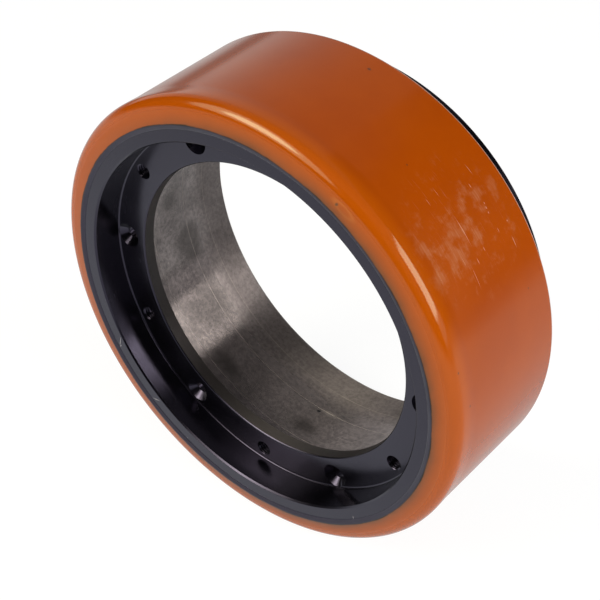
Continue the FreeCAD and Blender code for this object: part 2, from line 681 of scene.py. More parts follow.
def wire_specks(graph: Graph, given: dict[str, Socket]) -> tuple[Socket, ...]:
    """Scatters small round specks.

    Args:
        graph: the group's graph.
        given: the group's inputs.

    Returns:
        The specks, from 0 to 1.
    """
    cells = graph.add("ShaderNodeTexVoronoi", {"Vector": given["Place"], "Scale": given["Scale"]})
    chance = graph.add("ShaderNodeSeparateColor", {0: cells.outputs["Color"]}).outputs[0]
    dots = graph.rise(cells.outputs["Distance"], graph.times(given["Size"], chance), 0.0)
    kept = graph.math("LESS_THAN", chance, given["Share"])
    return (graph.times(dots, kept),)


def wire_mark(graph: Graph, given: dict[str, Socket]) -> tuple[Socket, ...]:
    """Draws one mark round the origin of a mapped place, out to a distance of 1.

    Args:
        graph: the group's graph.
        given: the group's inputs.

    Returns:
        The mark, from 0 to 1.
    """
    reach = graph.vector("LENGTH", given["Mapped"]).outputs["Value"]
    ragged = graph.noise(given["Place"], given["Grain"], detail=3.0, rough=0.6)
    pull = graph.math("SUBTRACT", ragged, NOISE_MIDDLE)
    return (graph.rise(graph.raised(reach, (pull, given["Ragged"])), 1.0, given["Core"]),)


WHEEL_PLACE = Effect("wheel_place", wire_wheel_place, outputs=("Radius", "Station"))
TURNED_LINES = Effect("turned_lines", wire_turned_lines, ("Across", "Around", "Low", "High"))
BLOTCHES = Effect("blotches", wire_blotches, ("Scale", "Low", "High"))
SPECKS = Effect("specks", wire_specks, ("Scale", "Size", "Share"))
MARK = Effect("mark", wire_mark, ("Grain", "Ragged", "Core"), ("Place", "Mapped"))


@dataclass(frozen=True)
class Mark:
    """A scratch, spot or worn patch at one place of a surface.

    Attributes:
        angle: degrees round the wheel.
        radius: distance from the axis.
        station: place along the axis.
        around: half its length round the wheel.
        across: half its width the other way.
        tilt: degrees by which its length leans towards the rear, or outwards on a flat face.
        flat: whether it is on a face that looks along the axis.
        ragged: how uneven its edge is.
        core: the share of it that is at full strength.
        least_depth: how far above and below its place it reaches at least.
        grain: how many features of its ragged edge fit in its shorter side.
    """

    angle: float
    radius: float
    station: float
    around: float
    across: float
    tilt: float = 0.0
    flat: bool = False
    ragged: float = 0.6
    core: float = 0.2
    least_depth: float = 2 * MM
    grain: float = 0.5

    def draw(self, graph: Graph, place: Socket) -> Socket:
        """Draws the mark in a material.

        Args:
            graph: the material's graph.
            place: the place on the piece.

        Returns:
            Its mask.
        """
        depth = max(self.across, self.least_depth)
        lean = Matrix.Rotation(math.radians(self.tilt), 3, "Y" if self.flat else "X")
        turned = Matrix.Rotation(-math.radians(self.angle), 3, "Y") @ lean
        size = (self.across, depth, self.around) if self.flat else (depth, self.across, self.around)
        inputs = {
            "Vector": place,
            "Location": round_the_wheel(self.angle, self.radius, self.station),
            "Rotation": turned.to_euler(),
            "Scale": size,
        }
        mapped = graph.add("ShaderNodeMapping", inputs, {"vector_type": "TEXTURE"}).outputs[0]
        grain = self.grain / min(self.around, 4 * self.across)
        edge = {"Grain": grain, "Ragged": self.ragged, "Core": self.core}
        return MARK.mask(graph, place, Mapped=mapped, **edge)


def marks(*rows: tuple[float, ...], **shared: float | bool) -> tuple[Mark, ...]:
    """Makes marks from plain rows.

    Args:
        *rows: each mark's angle in degrees, its radius, station, half length and half width in
            millimetres and, where it leans, its tilt in degrees.
        **shared: what else the marks have in common.

    Returns:
        The marks.
    """
    made = []
    for angle, radius, station, around, across, *tilt in rows:
        place = (angle, radius * MM, station * MM)
        made.append(Mark(*place, around * MM, across * MM, *tilt, **shared))
    return tuple(made)


def draw_marks(graph: Graph, place: Socket, drawn: tuple[Mark, ...]) -> Socket:
    """Draws several marks as one mask."""
    return graph.most(*(mark.draw(graph, place) for mark in drawn))


def new_material(name: str) -> tuple[bpy.types.Material, Graph]:
    """Starts a material.

    Args:
        name: its name.

    Returns:
        The material and the graph of its nodes.
    """
    material = bpy.data.materials.new(name)
    material.use_nodes = True
    return material, Graph(material.node_tree)


def close_material(graph: Graph, inputs: dict[str, Given]) -> None:
    """Ends a material in its Principled shader.

    Args:
        graph: the material's graph.
        inputs: the shader's values and sockets by name.
    """
    shader = graph.add("ShaderNodeBsdfPrincipled", inputs)
    graph.add("ShaderNodeOutputMaterial", {"Surface": shader.outputs[0]})


@dataclass(frozen=True)
class BlackPaint:
    """Satin black paint on the turned rim, with dust in the recess and a few scuffs."""

    colour: Colour = (0.0011, 0.0010, 0.0016, 1.0)
    hazy: Colour = (0.0024, 0.0022, 0.0034, 1.0)
    reflected: Colour = (0.75, 0.66, 0.97, 1.0)
    density: float = 1.6
    worn: Colour = (0.32, 0.30, 0.32, 1.0)
    dust: Colour = (0.16, 0.14, 0.10, 1.0)
    # sprayed: the lip's overspray paint, coloured lighter than the face as painted light that
    # brightens the lip's darker shading
    sprayed: Colour = (0.014, 0.0133, 0.019, 1.0)
    hollow: Colour = (0.0006, 0.0006, 0.0008, 1.0)
    gloss: float = 0.18
    matt: float = 0.25
    dusty_below: float = -50.0 * MM
    dustiest_below: float = -85.0 * MM
    recess_start: float = -18.0 * MM
    lip_start: float = -19.55 * MM
    lip_full: float = -19.75 * MM
    skin_depth: float = 0.004 * MM
    scuffs: tuple[Mark, ...] = marks(
        (-148.6, 98.1, -19.5, 0.3, 3.6, -48.5),
        (-147.2, 99.6, -19.5, 0.3, 1.4, -42),
        (-128.3, 98.6, -19.5, 0.35, 3.2, 43.6),
        (-50.3, 100.3, -19.5, 0.3, 1.1, 20),
        (-114.1, 100.2, -19.5, 0.35, 0.35),
        flat=True,
    )
    nicks: tuple[Mark, ...] = marks((-106.9, 100.2, -19.5, 1.6, 0.35, 8), flat=True)

    def settled_dust(self, graph: Graph, place: Socket, station: Socket) -> Socket:
        """Scatters dust at the bottom of the front recess.

        Args:
            graph: the material's graph.
            place: the place on the piece.
            station: its place along the axis.

        Returns:
            The mask of the dust.
        """
        specks = SPECKS.mask(graph, place, Scale=420.0, Size=0.22, Share=0.35)
        height = graph.add("ShaderNodeSeparateXYZ", {0: place}).outputs["Z"]
        low_down = graph.rise(height, self.dusty_below, self.dustiest_below)
        inside = graph.rise(station, self.recess_start, self.recess_start + MM)
        return graph.times(specks, low_down, inside)

    def make(self) -> bpy.types.Material:
        """Builds the paint.

        Returns:
            The material.
        """
        material, graph = new_material("black_paint")
        place = graph.object_place()
        _, station = WHEEL_PLACE.place(graph, Place=place)
        clouds = BLOTCHES.mask(graph, place, Scale=60.0, Low=0.3, High=0.75)
        lines = TURNED_LINES.mask(graph, place, Across=2600.0, Around=14.0, Low=0.35, High=0.7)
        dust = self.settled_dust(graph, place, station)
        scuffs = draw_marks(graph, place, self.scuffs)
        # painted light: the lip's colour is lighter to offset its darker shading; its rougher
        # overspray film is real roughness
        lightened_lip = graph.rise(station, self.lip_start, self.lip_full)
        colour = graph.coats(
            graph.blend(clouds, self.colour, self.hazy),
            (lightened_lip, 1.0, self.sprayed),
            (dust, 0.8, self.dust),
            (scuffs, 0.85, self.worn),
            (draw_marks(graph, place, self.nicks), 0.9, self.hollow),
        )
        rough = graph.raised(
            graph.rise(clouds, 0.0, 1.0, self.gloss, self.matt),
            (lines, 0.03),
            (graph.most(scuffs, dust), 0.25),
            (lightened_lip, 0.3),
        )
        height = graph.math("ADD", graph.noise(place, 1400.0, detail=2.0), lines)
        close_material(
            graph,
            {
                "Base Color": colour,
                "Roughness": rough,
                "IOR": self.density,
                "Specular Tint": self.reflected,
                "Normal": graph.bump(height, self.skin_depth, strength=0.35),
            },
        )
        return material


@dataclass(frozen=True)
class TurnedSteel:
    """Bare turned steel of the bore and the rear recess, stained by handling, with painted shade
    towards the recess's rear end.
    """

    colour: Colour = (0.315, 0.268, 0.262, 1.0)
    stain_and_shade: Colour = (0.128, 0.109, 0.107, 1.0)
    smudged: Colour = (0.055, 0.047, 0.044, 1.0)
    grimy: Colour = (0.044, 0.038, 0.038, 1.0)
    bright: Colour = (0.60, 0.52, 0.47, 1.0)
    pitted: Colour = (0.02, 0.02, 0.022, 1.0)
    polish: float = 0.2
    dull: float = 0.27
    metal: float = 0.78
    brushed: float = 0.9
    brushed_turn: float = 0.25
    pit_depth: float = -0.05 * MM
    # painted shade: the steel darkens from here to the rear, where a lamp's reflection fades
    shade_from: float = 44.0 * MM
    shade_full: float = 58.0 * MM
    bore_end: float = 78.5 * MM
    tool_lines: tuple[float, ...] = (18.2 * MM, 41.7 * MM, 56.0 * MM)
    tool_line_width: float = 0.26 * MM
    pits: tuple[Mark, ...] = marks((-92.2, 94.5, 39.7, 1.5, 1), ragged=0.3, core=0.5)
    smears: tuple[Mark, ...] = marks((-88.5, 94.5, 41.5, 8, 2.4), core=0.0)
    film: tuple[Mark, ...] = marks((-142.0, 94.5, 35.0, 19, 22), core=0.3)
    smudges: tuple[Mark, ...] = (
        *marks((-164.3, 94.5, 39.1, 15, 13), ragged=1.8, core=0.35),
        *marks(
            (178.9, 94.5, 32.4, 14, 10),
            (-121.6, 94.5, 23.8, 15, 8),
            (-92.4, 94.5, 26.2, 12, 7),
            ragged=1.8,
            core=0.1,
        ),
    )

    def rings(self, graph: Graph, place: Socket, station: Socket) -> Socket:
        """Draws the lines that the turning tool left where it stopped.

        Args:
            graph: the material's graph.
            place: the place on the piece.
            station: its place along the axis.

        Returns:
            The mask of the lines.
        """
        rings = []
        for line in self.tool_lines:
            rings.append(graph.rise(graph.gap(station, line), self.tool_line_width, 0.0))
        kept = TURNED_LINES.mask(graph, place, Across=90.0, Around=30.0, Low=0.1, High=0.5)
        return graph.times(graph.most(*rings), kept)

    def make(self) -> bpy.types.Material:
        """Builds the bare steel.

        Returns:
            The material.
        """
        material, graph = new_material("turned_steel")
        place = graph.object_place()
        radius, station = WHEEL_PLACE.place(graph, Place=place)
        stains = BLOTCHES.mask(graph, place, Scale=34.0, Low=0.38, High=0.68)
        grain = SPECKS.mask(graph, place, Scale=800.0, Size=0.7, Share=0.9)
        mottle = BLOTCHES.mask(graph, place, Scale=520.0, Low=0.36, High=0.64)
        lines = TURNED_LINES.mask(graph, place, Across=1500.0, Around=60.0, Low=0.3, High=0.72)
        rings = self.rings(graph, place, station)
        pits = draw_marks(graph, place, self.pits)
        in_bore = graph.rise(radius, self.bore_end, self.bore_end - MM)
        # painted shade: darker and rougher towards the rear end of the recess
        rear_shade = graph.rise(station, self.shade_from, self.shade_full)
        colour = graph.coats(
            self.colour,
            (stains, 0.55, self.stain_and_shade),
            (draw_marks(graph, place, self.film), 0.56, self.smudged),
            (lines, 0.15, self.pitted),
            (mottle, 0.34, self.pitted),
            (grain, 0.4, self.pitted),
            (draw_marks(graph, place, self.smudges), 0.72, self.smudged),
            (draw_marks(graph, place, self.smears), 0.4, self.bright),
            (in_bore, 0.95, self.grimy),
            (rear_shade, 0.35, self.stain_and_shade),
            (rings, 0.34, self.bright),
            (pits, 0.95, self.pitted),
        )
        rough = graph.raised(
            graph.rise(stains, 0.0, 1.0, self.polish, self.dull),
            (rings, 0.16),
            (in_bore, 0.25),
            (rear_shade, 0.25),
        )
        around = graph.add("ShaderNodeTangent", {}, {"direction_type": "RADIAL", "axis": "Y"})
        close_material(
            graph,
            {
                "Base Color": colour,
                "Roughness": rough,
                "Metallic": self.metal,
                "Anisotropic": self.brushed,
                "Anisotropic Rotation": self.brushed_turn,
                "Tangent": around.outputs[0],
                "Normal": graph.bump(pits, self.pit_depth, strength=0.4),
            },
        )
        return material


@dataclass(frozen=True)
class Polyurethane:
    """Cast orange polyurethane, with the rim's paint on its lip and wear on its running face."""

    colour: Colour = (0.288, 0.046, 0.0003, 1.0)
    deep: Colour = (0.262, 0.039, 0.0003, 1.0)
    # painted light: a lighter, yellower orange for the lip, side face and shoulder
    lit_side_colour: Colour = (0.330, 0.058, 0.0006, 1.0)
    reflected: Colour = (0.97, 1.0, 0.70, 1.0)
    bloom: Colour = (0.35, 0.14, 0.062, 1.0)
    # colour of the real scratches and of the painted highlight along the rear edge
    scratch_and_highlight: Colour = (0.60, 0.36, 0.24, 1.0)
    scuffed: Colour = (0.46, 0.17, 0.04, 1.0)
    dark_brown: Colour = (0.06, 0.03, 0.018, 1.0)
    overspray: Colour = (0.0016, 0.0015, 0.0023, 1.0)
    gloss: float = 0.11
    satin: float = 0.45
    satin_end: float = 111.5 * MM
    satin_full: float = 108.0 * MM
    ground: float = 0.165
    matt: float = 0.25
    ground_from: float = -12.0 * MM
    ground_full: float = -6.0 * MM
    rear_edge: float = 55.2 * MM
    highlight_width: float = 0.7 * MM
    spray_edge: float = 103.7 * MM
    spray_soft: float = 0.3 * MM
    spray_wander: float = 1.6 * MM
    darkening_end: float = 109.5 * MM
    darkening_fall: float = 1.4
    bloom_thickness: float = 0.8
    bloom_unevenness: float = 3.4
    fine_share: float = 0.35
    skin_depth: float = 0.015 * MM
    scratches: tuple[Mark, ...] = (
        *marks(
            (50.8, 114.7, 41.4, 3.4, 0.2, 3),
            (48.0, 114.7, 36.5, 1.5, 0.25),
            (41.6, 114.7, 19.6, 9.6, 0.2),
            (32.0, 114.7, 14.4, 7.0, 0.15),
            (50.6, 114.7, 12.2, 2.4, 0.15),
            (51.2, 114.7, 18.9, 3.2, 0.14),
            (35.8, 114.7, 25.3, 1.6, 0.3),
            (36.9, 114.7, 37.5, 1.5, 0.22),
            (34.6, 114.7, 19.2, 2.0, 0.25),
            (43.3, 114.7, 38.0, 0.8, 0.3),
            (42.3, 114.7, 37.6, 0.9, 0.35),
            (41.2, 114.7, 37.3, 0.7, 0.3),
            (37.3, 114.7, 44.7, 0.5, 0.4),
        ),
        *marks((32.8, 114.7, 43.2, 3.5, 0.32), ragged=0.4),
    )
    worn: tuple[Mark, ...] = marks((42.0, 114.7, 20.0, 36, 38), ragged=0.5, core=0.6)
    blooms: tuple[Mark, ...] = marks(
        (45.2, 114.7, 26.3, 10, 7),
        (42.0, 114.7, 15.5, 16, 10),
        (44.3, 114.7, -4.5, 10, 8),
        (36.5, 114.7, -4.5, 9, 7),
        (38.2, 114.7, 10.0, 12, 11),
        (39.0, 114.7, 25.0, 10, 8),
        (45.4, 114.7, 47.0, 10, 5),
        (45.6, 114.7, 36.0, 10, 7),
        ragged=0.0,
        core=0.0,
    )
    spots: tuple[Mark, ...] = (
        *marks(
            (81.6, 114.7, 45.5, 1.4, 1.1),
            (17.7, 114.9, -13.2, 0.9, 0.7),
            (7.9, 114.8, -8.6, 0.9, 0.7),
            (21.9, 114.7, 42.0, 0.7, 0.5),
            (59.2, 114.7, 16.3, 0.6, 0.5),
        ),
        *marks((61.9, 107.7, -19.2, 0.9, 1.3, 20), (2.7, 102.9, -20.4, 0.8, 0.7), flat=True),
    )
    scuff_rings: tuple[Mark, ...] = marks(
        (60.0, 108.0, -19.0, 7.5, 2.2), flat=True, ragged=0.5, core=0.3
    )

    def sprayed(self, graph: Graph, place: Socket, radius: Socket) -> tuple[Socket, Socket]:
        """Masks the paint that reached the tread beside the rim, and a darkening next to it.

        Args:
            graph: the material's graph.
            place: the place on the piece.
            radius: its distance from the axis.

        Returns:
            The closed paint on the lip, and a brown darkening that fades outwards from it and is
            heavier on the right half.
        """
        wander = graph.math("SUBTRACT", graph.noise(place, 85.0, detail=6.0, rough=0.6), NOISE_MIDDLE)
        edge = graph.raised(radius, (wander, self.spray_wander))
        inner = self.spray_edge - self.spray_soft
        outer = self.spray_edge + self.spray_soft
        paint = graph.rise(edge, outer, inner)
        fade = graph.rise(edge, self.darkening_end, self.spray_edge, falloff=Falloff.EVEN)
        clouds = BLOTCHES.mask(graph, place, Scale=45.0, Low=0.2, High=0.7)
        clouds = graph.rise(clouds, 0.0, 1.0, start=0.55, end=0.95)
        sideways = graph.add("ShaderNodeSeparateXYZ", {0: place}).outputs["X"]
        thick = graph.rise(sideways, -self.darkening_end, 0.0, start=0.2, end=1.0)
        return paint, graph.times(graph.math("POWER", fade, self.darkening_fall), thick, clouds)

    def wear(self, graph: Graph, place: Socket) -> tuple[Socket, Socket]:
        """Masks the wear on the running face.

        Args:
            graph: the material's graph.
            place: the place on the piece.

        Returns:
            The cloudy bloom and the scratches.
        """
        worn = draw_marks(graph, place, self.worn)
        thick = draw_marks(graph, place, self.blooms)
        cloud = graph.math("SUBTRACT", graph.noise(place, 190.0, detail=5.0, rough=0.6), NOISE_MIDDLE)
        cloud = graph.raised(graph.times(thick, self.bloom_thickness), (cloud, self.bloom_unevenness))
        streaks = TURNED_LINES.mask(graph, place, Across=1300.0, Around=60.0, Low=0.3, High=0.75)
        fine = TURNED_LINES.mask(graph, place, Across=2400.0, Around=90.0, Low=0.63, High=0.72)
        bloom = graph.times(
            worn,
            graph.rise(cloud, 0.05, 1.0),
            graph.rise(streaks, 0.0, 1.0, start=0.5, end=1.0),
        )
        scratches = draw_marks(graph, place, self.scratches)
        return bloom, graph.most(scratches, graph.times(worn, fine, self.fine_share))

    def make(self) -> bpy.types.Material:
        """Builds the polyurethane.

        Returns:
            The material.
        """
        material, graph = new_material("orange_polyurethane")
        place = graph.object_place()
        radius, station = WHEEL_PLACE.place(graph, Place=place)
        paint, lip_darkening = self.sprayed(graph, place, radius)
        bloom, scratches = self.wear(graph, place)
        clouds = BLOTCHES.mask(graph, place, Scale=22.0, Low=0.3, High=0.7)
        lines = TURNED_LINES.mask(graph, place, Across=1500.0, Around=18.0, Low=0.5, High=0.75)
        specks = SPECKS.mask(graph, place, Scale=170.0, Size=0.055, Share=0.45)
        spots = draw_marks(graph, place, self.spots)
        ring = draw_marks(graph, place, self.scuff_rings)
        ring = graph.times(ring, graph.math("SUBTRACT", 1.0, ring))
        # a painted highlight: a light line where the running face meets the rear bevel, also a little
        # rougher
        edge_highlight = graph.rise(graph.gap(station, self.rear_edge), self.highlight_width, 0.0)
        # painted light: towards the front the tread is coloured lighter and yellower, over its side
        # face and shoulder
        lit_front = graph.rise(station, self.ground_full, self.ground_from)
        colour = graph.coats(
            graph.blend(clouds, self.colour, self.deep),
            (lit_front, 0.85, self.lit_side_colour),
            (bloom, 0.4, self.bloom),
            (edge_highlight, 0.5, self.scratch_and_highlight),
            (ring, 0.9, self.scuffed),
            (graph.most(scratches, specks), 0.28, self.scratch_and_highlight),
            (spots, 0.85, self.dark_brown),
            # darker brown beside the lip, fading outwards
            (lip_darkening, 0.8, self.dark_brown),
            (paint, 1.0, self.overspray),
        )
        rough = graph.rise(station, self.ground_from, self.ground_full, self.gloss, self.ground)
        rough = graph.rise(radius, self.satin_end, self.satin_full, rough, self.satin)
        rough = graph.raised(rough, (clouds, 0.02), (paint, 0.1))
        rough = graph.rise(bloom, 0.0, 1.0, rough, self.matt)
        rough = graph.raised(rough, (graph.most(scratches, edge_highlight), 0.15))
        height = graph.raised(graph.noise(place, 260.0, detail=2.0), (lines, 0.15))
        height = graph.math("SUBTRACT", height, graph.most(scratches, spots))
        close_material(
            graph,
            {
                "Base Color": colour,
                "Roughness": rough,
                "Specular Tint": self.reflected,
                "Normal": graph.bump(height, self.skin_depth, strength=0.3),
            },
        )
        return material


def finish_faces(
    piece: bpy.types.Object, wanted: Callable[[bmesh.types.BMFace], bool], number: int
) -> None:
    """Gives some faces of a piece another of its materials.

    Args:
        piece: the piece.
        wanted: the test, by a face's place or normal.
        number: which of the piece's materials they get.
    """
    edit(piece)
    pick_faces(piece, wanted)
    piece.active_material_index = number
    bpy.ops.object.material_slot_assign()
    deselect_all()


# The wheel's two pieces


@dataclass
class Rim:
    """The rim: a barrel with a bolt flange inside it, turned from one piece of steel.

    Its outside and its front are painted black, its bore and its rear recess are bare.
    """

    wall: float = 6.5 * MM
    flange_half: float = 3.5 * MM
    flange_reach: float = 17.0 * MM
    mouth_chamfer: float = 0.8 * MM
    bore_chamfer: float = 0.6 * MM
    rear_lead: float = 2.2 * MM
    rear_edge: float = 0.6 * MM
    root_bevel: float = 0.6 * MM
    bolt_circle: float = 88.0 * MM
    hole_count: int = 6
    screw_angle: float = 57.4
    screw_radius: float = 3.2 * MM
    sink_radius: float = 6.35 * MM
    thread_core: float = 3.4 * MM
    thread_mouth: float = 4.0 * MM
    thread_root: float = 3.97 * MM
    thread_pitch: float = 1.25 * MM
    thread_crest: float = 0.15 * MM
    thread_groove: float = 0.075 * MM
    cutter_reach: float = 6.0 * MM
    softness: float = 0.1 * MM
    bore_softness: float = 0.25 * MM
    root_softness: float = 0.3 * MM
    seam_softness: float = 0.07 * MM
    steps: int = 384
    hole_steps: int = 48
    barrel: float = field(init=False)
    front: float = field(init=False)
    rear: float = field(init=False)

    def __post_init__(self) -> None:
        """Reads the barrel's size from the CAD node."""
        low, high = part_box(Node.RIM.value)
        self.barrel = high.z
        self.front = low.y
        self.rear = high.y

    @property
    def recess(self) -> float:
        """Radius of the recesses in front of the flange and behind it."""
        return self.barrel - self.wall

    @property
    def bore(self) -> float:
        """Radius of the hub bore."""
        return self.recess - self.flange_reach

    def section(self) -> list[Corner]:
        """Draws the rim's half section, from the mouth of the front recess outwards.

        Returns:
            Its corners in order.
        """
        half = self.flange_half
        edge = self.softness
        root = self.root_softness
        rows = [
            (self.recess, self.front + self.mouth_chamfer, edge),
            (self.recess + self.mouth_chamfer, self.front, edge),
            (self.barrel, self.front, self.seam_softness),
            (self.barrel, self.rear - self.rear_edge, edge),
            (self.barrel - self.rear_edge, self.rear, edge),
            (self.recess + self.rear_lead, self.rear, edge),
            (self.recess, self.rear - self.rear_lead, edge),
            (self.recess, half + self.root_bevel, root),
            (self.recess - self.root_bevel, half, root),
            (self.bore + self.bore_chamfer, half, edge),
            (self.bore, half - self.bore_chamfer, edge),
            (self.bore, self.bore_chamfer - half, self.bore_softness),
            (self.bore + self.bore_chamfer, -half, self.bore_softness),
            (self.recess - self.root_bevel, -half, root),
            (self.recess, -half - self.root_bevel, root),
        ]
        return [Corner(*row) for row in rows]

    def hole_plugs(
        self, name: str, angle: float, profile: list[tuple[float, float]]
    ) -> bpy.types.Object:
        """Turns a plug and repeats it on the bolt circle.

        Args:
            name: name of the cutter.
            angle: degrees round the wheel of the first one.
            profile: radii and stations of the plug, from one end on its axis to the other.

        Returns:
            All the plugs as one object.
        """
        corners = [Corner(*row) for row in profile]
        plug = Lathe(name, corners, self.hole_steps).turn(closed=False)
        shift(plug, round_the_wheel(angle, self.bolt_circle))
        return ring_of(plug, self.hole_count)

    def tap(self, angle: float) -> bpy.types.Object:
        """Models the thread cutter of the tapped holes and repeats it on the bolt circle.

        Args:
            angle: degrees round the wheel of the first one.

        Returns:
            All the cutters as one object.
        """
        middle = self.thread_pitch / 2
        corners = [
            Corner(self.thread_core, 0.0),
            Corner(self.thread_core, self.thread_crest),
            Corner(self.thread_root, middle - self.thread_groove),
            Corner(self.thread_root, middle + self.thread_groove),
            Corner(self.thread_core, self.thread_pitch - self.thread_crest),
            Corner(self.thread_core, self.thread_pitch),
        ]
        cutter = Lathe("tap", corners, self.hole_steps).draw(closed=False)
        length = 4 * self.cutter_reach
        turns = math.ceil(length / self.thread_pitch)
        settings = {
            "axis": "Y",
            "angle": FULL_TURN,
            "screw_offset": self.thread_pitch,
            "iterations": turns,
            "steps": self.hole_steps,
            "render_steps": self.hole_steps,
            "use_merge_vertices": True,
        }
        apply_modifier(cutter, "SCREW", settings)
        shift(cutter, -turns * middle * AXIS)
        edit(cutter)
        bpy.ops.mesh.remove_doubles(threshold=MERGE)
        for end in (-1, 1):
            bpy.ops.mesh.select_all(action="SELECT")
            bpy.ops.mesh.bisect(
                plane_co=end * self.cutter_reach * AXIS,
                plane_no=end * AXIS,
                use_fill=True,
                clear_outer=True,
                threshold=MERGE,
            )
        clean_surface()
        shift(cutter, round_the_wheel(angle, self.bolt_circle))
        return ring_of(cutter, self.hole_count)

    def drill(self, piece: bpy.types.Object) -> None:
        """Cuts the countersunk and the tapped holes into the bolt flange.

        Args:
            piece: the turned rim.
        """
        half = self.flange_half
        reach = self.cutter_reach
        tapped_angle = self.screw_angle - 180 / self.hole_count
        seat = self.sink_radius - self.screw_radius
        screw_hole = [
            (0.0, -reach),
            (self.sink_radius, -reach),
            (self.sink_radius, -half),
            (self.screw_radius, seat - half),
            (self.screw_radius, reach),
            (0.0, reach),
        ]
        cut(piece, self.hole_plugs("screw_hole", self.screw_angle, screw_hole))
        mouth = [
            (0.0, -reach),
            (self.thread_mouth, -reach),
            (self.thread_mouth, -half),
            (0.0, self.thread_mouth - half),
        ]
        cut(piece, self.hole_plugs("tap_mouth", tapped_angle, mouth))
        cut(piece, self.tap(tapped_angle))

    def is_bare(self, face: bmesh.types.BMFace) -> bool:
        """Tells bare faces from painted ones.

        Args:
            face: a face of the rim.

        Returns:
            True in the bore, on the rear of the flange, in the rear recess and on its lead-in.
        """
        centre = face.calc_center_median()
        radius = math.hypot(centre.x, centre.z)
        bore_end = self.bore_chamfer - self.flange_half
        in_bore = radius < self.bore + self.softness and centre.y > bore_end
        behind = centre.y > self.flange_half - self.bore_chamfer
        inside = radius < self.recess + self.rear_lead and centre.y < self.rear - SAME_PLACE
        return in_bore or (behind and inside)

    def build(self) -> bpy.types.Object:
        """Models the rim.

        Returns:
            The piece.
        """
        piece = Lathe("turned_rim", self.section(), self.steps).turn(closed=True)
        self.drill(piece)
        smooth(piece)
        return piece

    def dress(self, piece: bpy.types.Object, paint: bpy.types.Material) -> None:
        """Paints the rim and leaves its bore and rear recess bare.

        Args:
            piece: the modelled rim.
            paint: the paint.
        """
        piece.data.materials.append(paint)
        piece.data.materials.append(TurnedSteel().make())
        finish_faces(piece, self.is_bare, 1)
        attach(piece, "root")
        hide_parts(Node.RIM.value)


@dataclass
class Tread:
    """The tread: a ring cast on to the rim, with a lip, a round shoulder and a low bead."""

    depth: float = 13.7 * MM
    lip_rise: float = 0.9 * MM
    lip_width: float = 2.0 * MM
    side_fall: float = 3.0 * MM
    shoulder_radius: float = 5.6 * MM
    bead_rise: float = 0.3 * MM
    bead_flat: float = 0.4 * MM
    bead_fade: float = 6.5 * MM
    rear_bevel: float = 1.6 * MM
    seam_softness: float = 0.07 * MM
    lip_softness: float = 0.45 * MM
    bead_softness: float = 0.9 * MM
    rear_softness: float = 0.95 * MM
    edge_steps: int = 4
    shoulder_steps: int = 20
    steps: int = 384
    outside: float = field(init=False)
    front: float = field(init=False)
    rear: float = field(init=False)

    def __post_init__(self) -> None:
        """Reads the tread's size from the CAD node."""
        low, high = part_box(Node.TREAD.value)
        self.outside = high.z
        self.front = low.y
        self.rear = high.y

    @property
    def running_face(self) -> float:
        """Radius of the running face."""
        return self.outside - self.bead_rise

    @property
    def bond(self) -> float:
        """Radius of the barrel that the tread is bonded to."""
        return self.running_face - self.depth

    def section(self) -> list[Corner]:
        """Draws the tread's half section, from the seam over the lip to the rear.

        Returns:
            Its corners in order.
        """
        lip = self.bond + self.lip_width
        lean = math.atan2(self.side_fall, self.outside - lip)
        shoulder = self.shoulder_radius * math.tan((math.pi / 2 - lean) / 2)
        bead_end = self.front + self.side_fall + self.shoulder_radius + self.bead_flat
        rear_edge = self.rear - self.rear_bevel
        rear_round = (self.rear_softness, self.edge_steps)
        return [
            Corner(self.bond, self.front + self.lip_rise, self.seam_softness),
            Corner(lip, self.front, self.lip_softness, self.edge_steps),
            Corner(self.outside, self.front + self.side_fall, shoulder, self.shoulder_steps),
            Corner(self.outside, bead_end, self.bead_softness),
            Corner(self.running_face, bead_end + self.bead_fade, self.bead_softness),
            Corner(self.running_face, rear_edge, *rear_round),
            Corner(self.running_face - self.rear_bevel, self.rear, *rear_round),
            Corner(self.bond, self.rear, self.seam_softness),
        ]

    def build(self) -> bpy.types.Object:
        """Models the tread.

        Returns:
            The piece.
        """
        piece = Lathe("bonded_tread", self.section(), self.steps).turn(closed=True)
        smooth(piece)
        return piece

    def is_painted(self, face: bmesh.types.BMFace) -> bool:
        """Tells the lip, which was painted with the rim, from the rest.

        Args:
            face: a face of the tread.

        Returns:
            True on the front lip.
        """
        centre = face.calc_center_median()
        radius = math.hypot(centre.x, centre.z)
        lip_end = self.bond + self.lip_width + self.lip_softness
        return radius < lip_end and centre.y < self.front + self.side_fall

    def dress(self, piece: bpy.types.Object, paint: bpy.types.Material) -> None:
        """Gives the tread its finish.

        Args:
            piece: the modelled tread.
            paint: the paint of the rim, which covers the lip too.
        """
        piece.data.materials.append(Polyurethane().make())
        piece.data.materials.append(paint)
        finish_faces(piece, self.is_painted, 1)
        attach(piece, "root")
        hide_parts(Node.TREAD.value)


# The studio


def face_wheel(
    thing: bpy.types.Object, azimuth: float, elevation: float, distance: float, aim: Vector
) -> None:
    """Adds a lamp or the camera to the scene, so that it looks at the wheel.

    Args:
        thing: the lamp or the camera.
        azimuth: degrees from -Y towards +X.
        elevation: degrees above the horizon.
        distance: from the point that it looks at.
        aim: that point.
    """
    outwards = towards(azimuth, elevation)
    thing.location = aim + outwards * distance
    thing.rotation_euler = (-outwards).to_track_quat("-Z", "Y").to_euler()
    bpy.context.collection.objects.link(thing)


